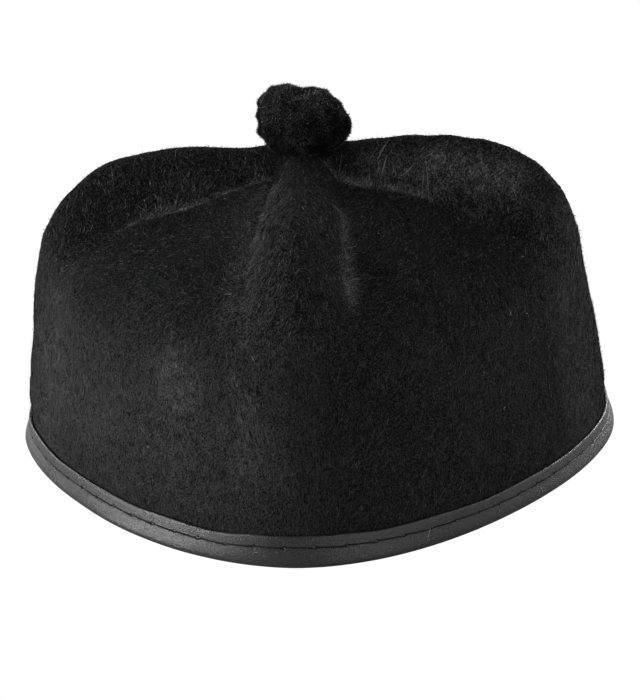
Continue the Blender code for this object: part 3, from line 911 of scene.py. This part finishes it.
# folded strip: its section carried round the rim, pulled in at each stitch hole and waving a little
def buildBinding():
    azimuth, length, whole = stitchRound(binding["columnsPerStitch"])
    section = smoothLoop(np.array(binding["section"]) / 1000, binding["pointsPerSpan"])
    section[:, 1] = np.maximum(section[:, 1], 0)
    inset, height = section[:, 0][:, None], section[:, 1][:, None]
    outside = np.where(inset < binding["middle"], 1.0, -1.0)
    shown = (inset < binding["outerFace"]) | (inset > binding["innerFace"])
    skin = np.where(shown, 1.0, 0.0) * np.clip(height / 0.0015, 0, 1)
    outFace = (outside > 0) * skin
    phase = stitchPhase(length, whole)[None, :]
    above = height - binding["stitchHeight"]

    # the strip is pulled in at the holes, swells between them and creases a little
    hole = np.exp(-(((phase + math.pi) % (2 * math.pi) - math.pi) / binding["holeTurn"]) ** 2)
    between = 0.5 - 0.5 * np.cos(phase)
    pucker = np.exp(-(above / binding["puckerReach"]) ** 2) * (hole - between * 0.25)
    crease = np.sin(phase * 2 + height / binding["creaseLean"] * 2.2)
    crease = np.exp(-(above / binding["creaseReach"]) ** 2) * crease
    pull = binding["puckerDepth"] * pucker + binding["creaseDepth"] * crease
    spot = rimPoints(azimuth[None, :], inset, height)
    wave = binding["waveDepth"] * ripple(spot, binding["waveLength"], 42)
    wave = wave + binding["dentDepth"] * ripple(spot, binding["dentLength"], 43, 14)
    rise, swell = unevenRim(azimuth)
    low = lowerRoll(height) * (inset < 0.0013) * (outside > 0)
    moved = inset + outside * skin * (pull - wave) - low * swell[None, :]

    # holes open the groove, each stitch tilts it, and the upper edge waves
    lips = above / binding["lipHeight"] * np.exp(-(above / binding["holeReach"]) ** 2)
    upper = np.interp(height, (0.0015, 0.0055, 0.0085), (0, binding["riseAtStitch"], 1)) * outFace
    tilted = np.clip(1 - np.abs(above) / 0.0006, 0, 1) ** 0.5 * outFace * stitchStep(phase)
    edge = np.clip((height - 0.0066) / 0.0018, 0, 1) * skin * binding["edgeWave"]
    uneven = ripple(rimPoints(azimuth, 0, 0.0), binding["edgeWaveLength"], 44)[None, :]
    raised = height + outFace * lips * hole * binding["holeSpread"] + upper * rise[None, :]
    raised = raised + tilted + edge * uneven
    points = rimPoints(azimuth[None, :], moved, raised)
    faces = gridFaces(len(section), len(azimuth), wrap=True)[:, ::-1]
    return meshFrom("edgeBinding", points.reshape(-1, 3), [faces])


leatherette = {
    "colour": (0.010, 0.010, 0.0103, 1), "worn": (0.052, 0.052, 0.053, 1), "roughness": (0.22, 0.34),
    "specular": 0.58, "grain": 2200.0, "bump": 0.8, "bumpDistance": 0.00015,
}


# leatherette: fine pebbled grain from cells and noise, speckled lighter where it is rubbed
def leatherFinish():
    finish, tree, shader = newFinish("blackLeatherette", Specular_IOR_Level=leatherette["specular"])
    place = objectPlace(tree)
    cells = node(tree, "TexVoronoi", {"feature": "SMOOTH_F1"}, Vector=place,
                 Scale=leatherette["grain"], Smoothness=0.6).outputs["Distance"]
    fine = noise(tree, place, 3600.0, 2.0)
    creases = noise(tree, place, 420.0, 4.0, 0.6)
    rub = noise(tree, place, 55.0)
    height = plus(tree, times(tree, cells, 0.7), times(tree, fine, 1.2))
    height = plus(tree, height, times(tree, creases, 0.12))
    speckled = times(tree, remap(tree, fine, 0.38, 0.64), plus(tree, rub, 0.35))
    colour = mixedColour(tree, speckled, leatherette["colour"], leatherette["worn"])
    tree.links.new(colour, shader.inputs["Base Color"])
    uneven = plus(tree, times(tree, rub, 0.6), times(tree, creases, 0.4))
    tree.links.new(remap(tree, uneven, 0.3, 0.7, *leatherette["roughness"]), shader.inputs["Roughness"])
    bump = node(tree, "Bump", Height=height, Strength=leatherette["bump"],
                Distance=leatherette["bumpDistance"])
    tree.links.new(bump.outputs[0], shader.inputs["Normal"])
    return finish


bindingMesh = buildBinding()
addPiece(bindingMesh, leatherFinish(), "edge_binding")
print("edge binding folded")


# tube along a closed line: rings of points round it, in the frame of its direction and the upright
def closedTube(name, line, radius, sides):
    ahead = unit(np.roll(line, -1, axis=0) - np.roll(line, 1, axis=0))
    sideways = unit(np.cross(ahead, np.array([0.0, 0.0, 1.0])))
    upward = np.cross(sideways, ahead)
    turn = np.linspace(0, 2 * math.pi, sides, endpoint=False)[None, :, None]
    ring = sideways[:, None, :] * np.cos(turn) + upward[:, None, :] * np.sin(turn)
    points = line[:, None, :] + ring * radius
    return meshFrom(name, points.reshape(-1, 3), [gridFaces(len(line), sides, wrap=True)[:, ::-1]])


# lockstitch: the thread lies in the groove and dips through the strip at each hole
def buildThread(name, outside):
    azimuth, length, whole = stitchRound(thread["perStitch"])
    phase = stitchPhase(length, whole)
    atHole = (0.5 + 0.5 * np.cos(phase)) ** 7
    deep = thread["groove"] + (thread["dip"] - thread["groove"]) * atHole
    inset = deep if outside else thread["acrossStrip"] - deep + 0.0001
    height = binding["stitchHeight"] + 0.00004 * np.sin(length / 0.019) + 0.00003 * np.sin(length / 0.0071)
    if outside:
        height = height + binding["riseAtStitch"] * unevenRim(azimuth)[0] + stitchStep(phase)
    return closedTube(name, rimPoints(azimuth, inset, height), thread["radius"], thread["sides"])


def threadFinish():
    finish, tree, shader = newFinish("blackThread", Specular_IOR_Level=0.35, Sheen_Weight=0.3,
                                     Sheen_Roughness=0.4, Roughness=0.6)
    plies = node(tree, "Group", {"node_tree": lyingFibres}, Coordinate=objectPlace(tree),
                 Turn=(0.7, 0.6, 0), Fibres_per_Metre=3000.0)
    colour = mixedColour(tree, remap(tree, plies.outputs[0], 0.35, 0.65), thread["colour"], thread["worn"])
    tree.links.new(colour, shader.inputs["Base Color"])
    bump = node(tree, "Bump", Height=plies.outputs[0], Strength=0.6, Distance=0.0001)
    tree.links.new(bump.outputs[0], shader.inputs["Normal"])
    return finish


# pale curled fibres caught in the felt, placed and strewn, with a few more on the binding, and pale specks at
# the stitch holes as painted glints of the thread
def buildLint():
    finish, tree, shader = newFinish("paleLint", Roughness=0.8, Specular_IOR_Level=0.2)
    share = remap(tree, noise(tree, objectPlace(tree), 900.0, 2.0), 0.35, 0.65)
    tree.links.new(mixedColour(tree, share, lint["shaded"], lint["colour"]), shader.inputs["Base Color"])
    draw = np.random.default_rng(lint["seed"])
    turn, run = spreadOnFelt(lint["strewn"], draw)
    placed = np.array(lint["placed"])
    places = (np.concatenate([np.radians(placed[:, 0]), turn]), np.concatenate([placed[:, 1], run]))
    buildFibres("feltLint", lint, False, finish, places)

    azimuth, length, whole = stitchRound(thread["perStitch"])
    phase = stitchPhase(length, whole)
    holes = np.degrees(np.interp(2 * math.pi * np.arange(1, binding["stitches"]), phase, azimuth))
    count = len(holes)
    # painted glints: pale specks beside each stitch hole
    base, spread = lint["paintedGlints"]
    paintedGlints = np.stack([holes + draw.uniform(-0.3, 0.3, count), base + draw.uniform(0, spread, count),
                       draw.uniform(0, 180, count), draw.uniform(*lint["paintedGlintLength"], count)], axis=-1)
    paintedGlints[:, 1] += binding["riseAtStitch"] * unevenRim(np.radians(holes))[0]
    rows = np.concatenate([np.array(lint["onBinding"]), paintedGlints])
    share = np.linspace(0, 1, 10)[None, :]
    heading = np.radians(rows[:, 2])[:, None] + draw.normal(0, 1.1, len(rows))[:, None] * share
    stride = rows[:, 3][:, None] / 9
    along = np.cumsum(stride * np.cos(heading), axis=1)
    height = rows[:, 1][:, None] + np.cumsum(stride * np.sin(heading), axis=1)
    azimuth = np.radians(rows[:, 0])[:, None] + along / cap["rimHalfWidth"]
    swell = unevenRim(azimuth)[1] * lowerRoll(height)
    lines = rimPoints(azimuth, -swell - lint["thick"], height)
    outward = unit(lines * (1, 1, 0))
    sides = unit(np.cross(outward, np.gradient(lines, axis=1)))
    widths = np.full(len(rows), lint["thick"])
    mesh = ribbonMesh("bindingLint", lines, sides, widths, np.ones(len(rows)))
    addPiece(mesh, finish)


buildLint()
sewing = threadFinish()
addPiece(buildThread("stitchesOutside", True), sewing)
addPiece(buildThread("stitchesInside", False), sewing)
print("stitches sewn")


pompom = {
    "halfSizes": (0.0140, 0.0136, 0.0121),
    "middle": (0, 0, 0.1051),
    "gap": 0.0002,           # between the wad and the felt below it
    "core": 0.80,            # radius of the round core, as a share
    "tufts": [       # across, back, up and size, as shares of the half sizes
        (-0.44, -0.05, 0.36, 0.615), (0.15, 0.00, 0.40, 0.48), (0.47, -0.10, -0.12, 0.53),
        (0.42, -0.06, 0.20, 0.45), (-0.50, -0.12, -0.10, 0.54), (0.02, -0.46, -0.10, 0.52),
        (-0.03, 0.46, 0.05, 0.54), (0.10, -0.36, 0.16, 0.44), (-0.10, -0.40, -0.44, 0.50),
        (0.34, 0.30, 0.08, 0.44), (0.22, -0.34, -0.46, 0.48), (-0.35, 0.35, 0.25, 0.48),
        (-0.33, -0.10, -0.45, 0.53)],
    "blend": 38.0, "swell": 0.055,                       # sharpness of the seams, and share added all over
    "columns": 220, "rings": 130,
    "lump": 0.00040, "lumpLength": 0.0040,
    "pile": 49000, "pileLength": (0.0004, 0.0010), "pileWidth": (0.00007, 0.00015), "seed": 51,
    "shade": (0.1010, 0.1130),                           # painted shade below, painted light above
    # painted light on the top and along the fold, painted shade taken off all over, and the pile's tone by the
    # same painted light: plain, top and fold
    "paintedTopLight": 1.5, "paintedFoldLight": 5.0, "shaded": 0.9, "pileTone": (0.10, 0.68, 3.0), "pileRarity": 8,
    "fold": ((-0.0040, -0.0061, 0.1134), (0.0040, -0.0026, 0.1152), 0.0007),     # painted highlight along a fold: start, end, reach across it
}
woolFinish = dict(feltFinish, dark=(0.0008, 0.0008, 0.0009, 1), light=(0.014, 0.014, 0.0143, 1),
                  grain=1900.0, cloud=150.0, bumpDistance=0.0030, sheen=0.003, specular=0.03)
hairFinish = dict(woolFinish, light=(0.900, 0.900, 0.902, 1))


# how far the wad reaches in each direction: smooth maximum of where a ray leaves each round tuft
def wadReach(ways):
    centres = np.array([tuft[:3] for tuft in pompom["tufts"]] + [(0, 0, 0)])
    sizes = np.array([tuft[3] for tuft in pompom["tufts"]] + [pompom["core"]])
    along = ways @ centres.T
    root = along ** 2 - (np.sum(centres ** 2, axis=1) - sizes ** 2)
    reach = np.where(root > 0, along + np.sqrt(np.maximum(root, 0)), 0.3)
    return np.log(np.mean(np.exp(pompom["blend"] * reach), axis=-1)) / pompom["blend"] + pompom["swell"]


# felt's height straight below points near the centre: the run whose radius is theirs, by a few corrections
def feltBelow(points):
    azimuth = np.arctan2(points[..., 1], points[..., 0])
    radius = np.hypot(points[..., 0], points[..., 1])
    reach = radius / rimRadius(azimuth)
    for _ in range(4):
        run = 1 - (1 - cap["shoulderRun"]) * np.clip(reach / cap["levelTopReach"], 0.002, 1)
        felt = feltPoints(azimuth, run)
        reach = reach * radius / np.maximum(np.hypot(felt[..., 0], felt[..., 1]), 0.00001)
    return felt[..., 2]


# point of the wad in a direction: reach times the half sizes, with small lumps, resting on the felt
def wadPoints(ways):
    middle = np.array(pompom["middle"])
    scaled = ways * wadReach(ways)[..., None] * np.array(pompom["halfSizes"]) + middle
    lumps = 1 + pompom["lump"] * ripple(scaled, pompom["lumpLength"], 52, 16) / pompom["halfSizes"][0]
    points = (scaled - middle) * lumps[..., None] + middle
    points[..., 2] = np.maximum(points[..., 2], feltBelow(points) + pompom["gap"])
    return points


# painted light on the wool: eased from the painted shade of the lower half to the painted light of the top, and
# a painted highlight along the fold
def paintedWoolLight(points):
    low, high = pompom["shade"]
    height = ease((points[..., 2] - 0.25 * points[..., 0] - low) / (high - low))
    start, end, across = pompom["fold"]
    return height, np.exp(-(awayFrom(points, start, end) / across) ** 2)


def directions(turn, rise):
    return np.stack([np.cos(rise) * np.cos(turn), np.cos(rise) * np.sin(turn), np.sin(rise)], axis=-1)


def buildPompom():
    turn = np.linspace(0, 2 * math.pi, pompom["columns"], endpoint=False)[None, :]
    rise = np.linspace(-1.545, 1.545, pompom["rings"])[:, None]
    points = wadPoints(directions(turn + 0 * rise, rise + 0 * turn))
    columns = pompom["columns"]
    ends = np.array([points[0].mean(axis=0), points[-1].mean(axis=0)])
    vertices = np.concatenate([points.reshape(-1, 3), ends])
    mesh = meshFrom("woolPompom", vertices, [
        gridFaces(pompom["rings"], columns),
        fan(0, columns, len(vertices) - 2, True),
        fan((pompom["rings"] - 1) * columns, columns, len(vertices) - 1)])
    top, fold = paintedWoolLight(vertices)
    # painted light on the top and along the fold, less painted shade all over
    keepValues(mesh, "rubbed", pompom["paintedTopLight"] * top + pompom["paintedFoldLight"] * fold - pompom["shaded"])
    keepValues(mesh, "crisp", np.full(len(vertices), 1.8))
    return addPiece(mesh, clothFinish("blackWool", woolFinish), "pompom")


# pile: short curved hairs that stand out of the wad every way
def buildPile():
    draw = np.random.default_rng(pompom["seed"])
    count = pompom["pile"]
    ways = unit(draw.normal(size=(count, 3)))
    small = 0.02
    turn, rise = np.arctan2(ways[:, 1], ways[:, 0]), np.arcsin(np.clip(ways[:, 2], -0.999, 0.999))
    base = wadPoints(ways)
    along = wadPoints(directions(turn + small, rise)) - wadPoints(directions(turn - small, rise))
    upward = wadPoints(directions(turn, rise + small)) - wadPoints(directions(turn, rise - small))
    normal = unit(np.cross(along, upward))
    lean = unit(normal + 1.0 * draw.normal(size=(count, 3)))
    length = draw.uniform(*pompom["pileLength"], count)[:, None]
    curl = unit(draw.normal(size=(count, 3)))
    share = np.linspace(0, 1, 3)[None, :, None]
    lines = (base - normal * 0.0002)[:, None, :] + lean[:, None, :] * length[:, None, :] * share
    lines = lines + curl[:, None, :] * length[:, None, :] * 0.35 * share ** 2
    lines[..., 2] = np.maximum(lines[..., 2], feltBelow(lines) + pompom["gap"])
    sides = np.broadcast_to(unit(np.cross(lean, draw.normal(size=(count, 3))))[:, None, :], lines.shape)
    top, fold = paintedWoolLight(base)
    plain, onTop, inFold = pompom["pileTone"]
    tone = 0.004 + 0.996 * draw.uniform(0, 1, count) ** pompom["pileRarity"]
    # the pile's tone takes the same painted light on the top and along the fold
    tone = tone * (plain + onTop * top + inFold * fold)
    mesh = ribbonMesh("woolPile", lines, sides, draw.uniform(*pompom["pileWidth"], count), tone)
    return addPiece(mesh, clothFinish("woolHair", hairFinish, toned=True))


buildPompom()
buildPile()
print("pompom made")
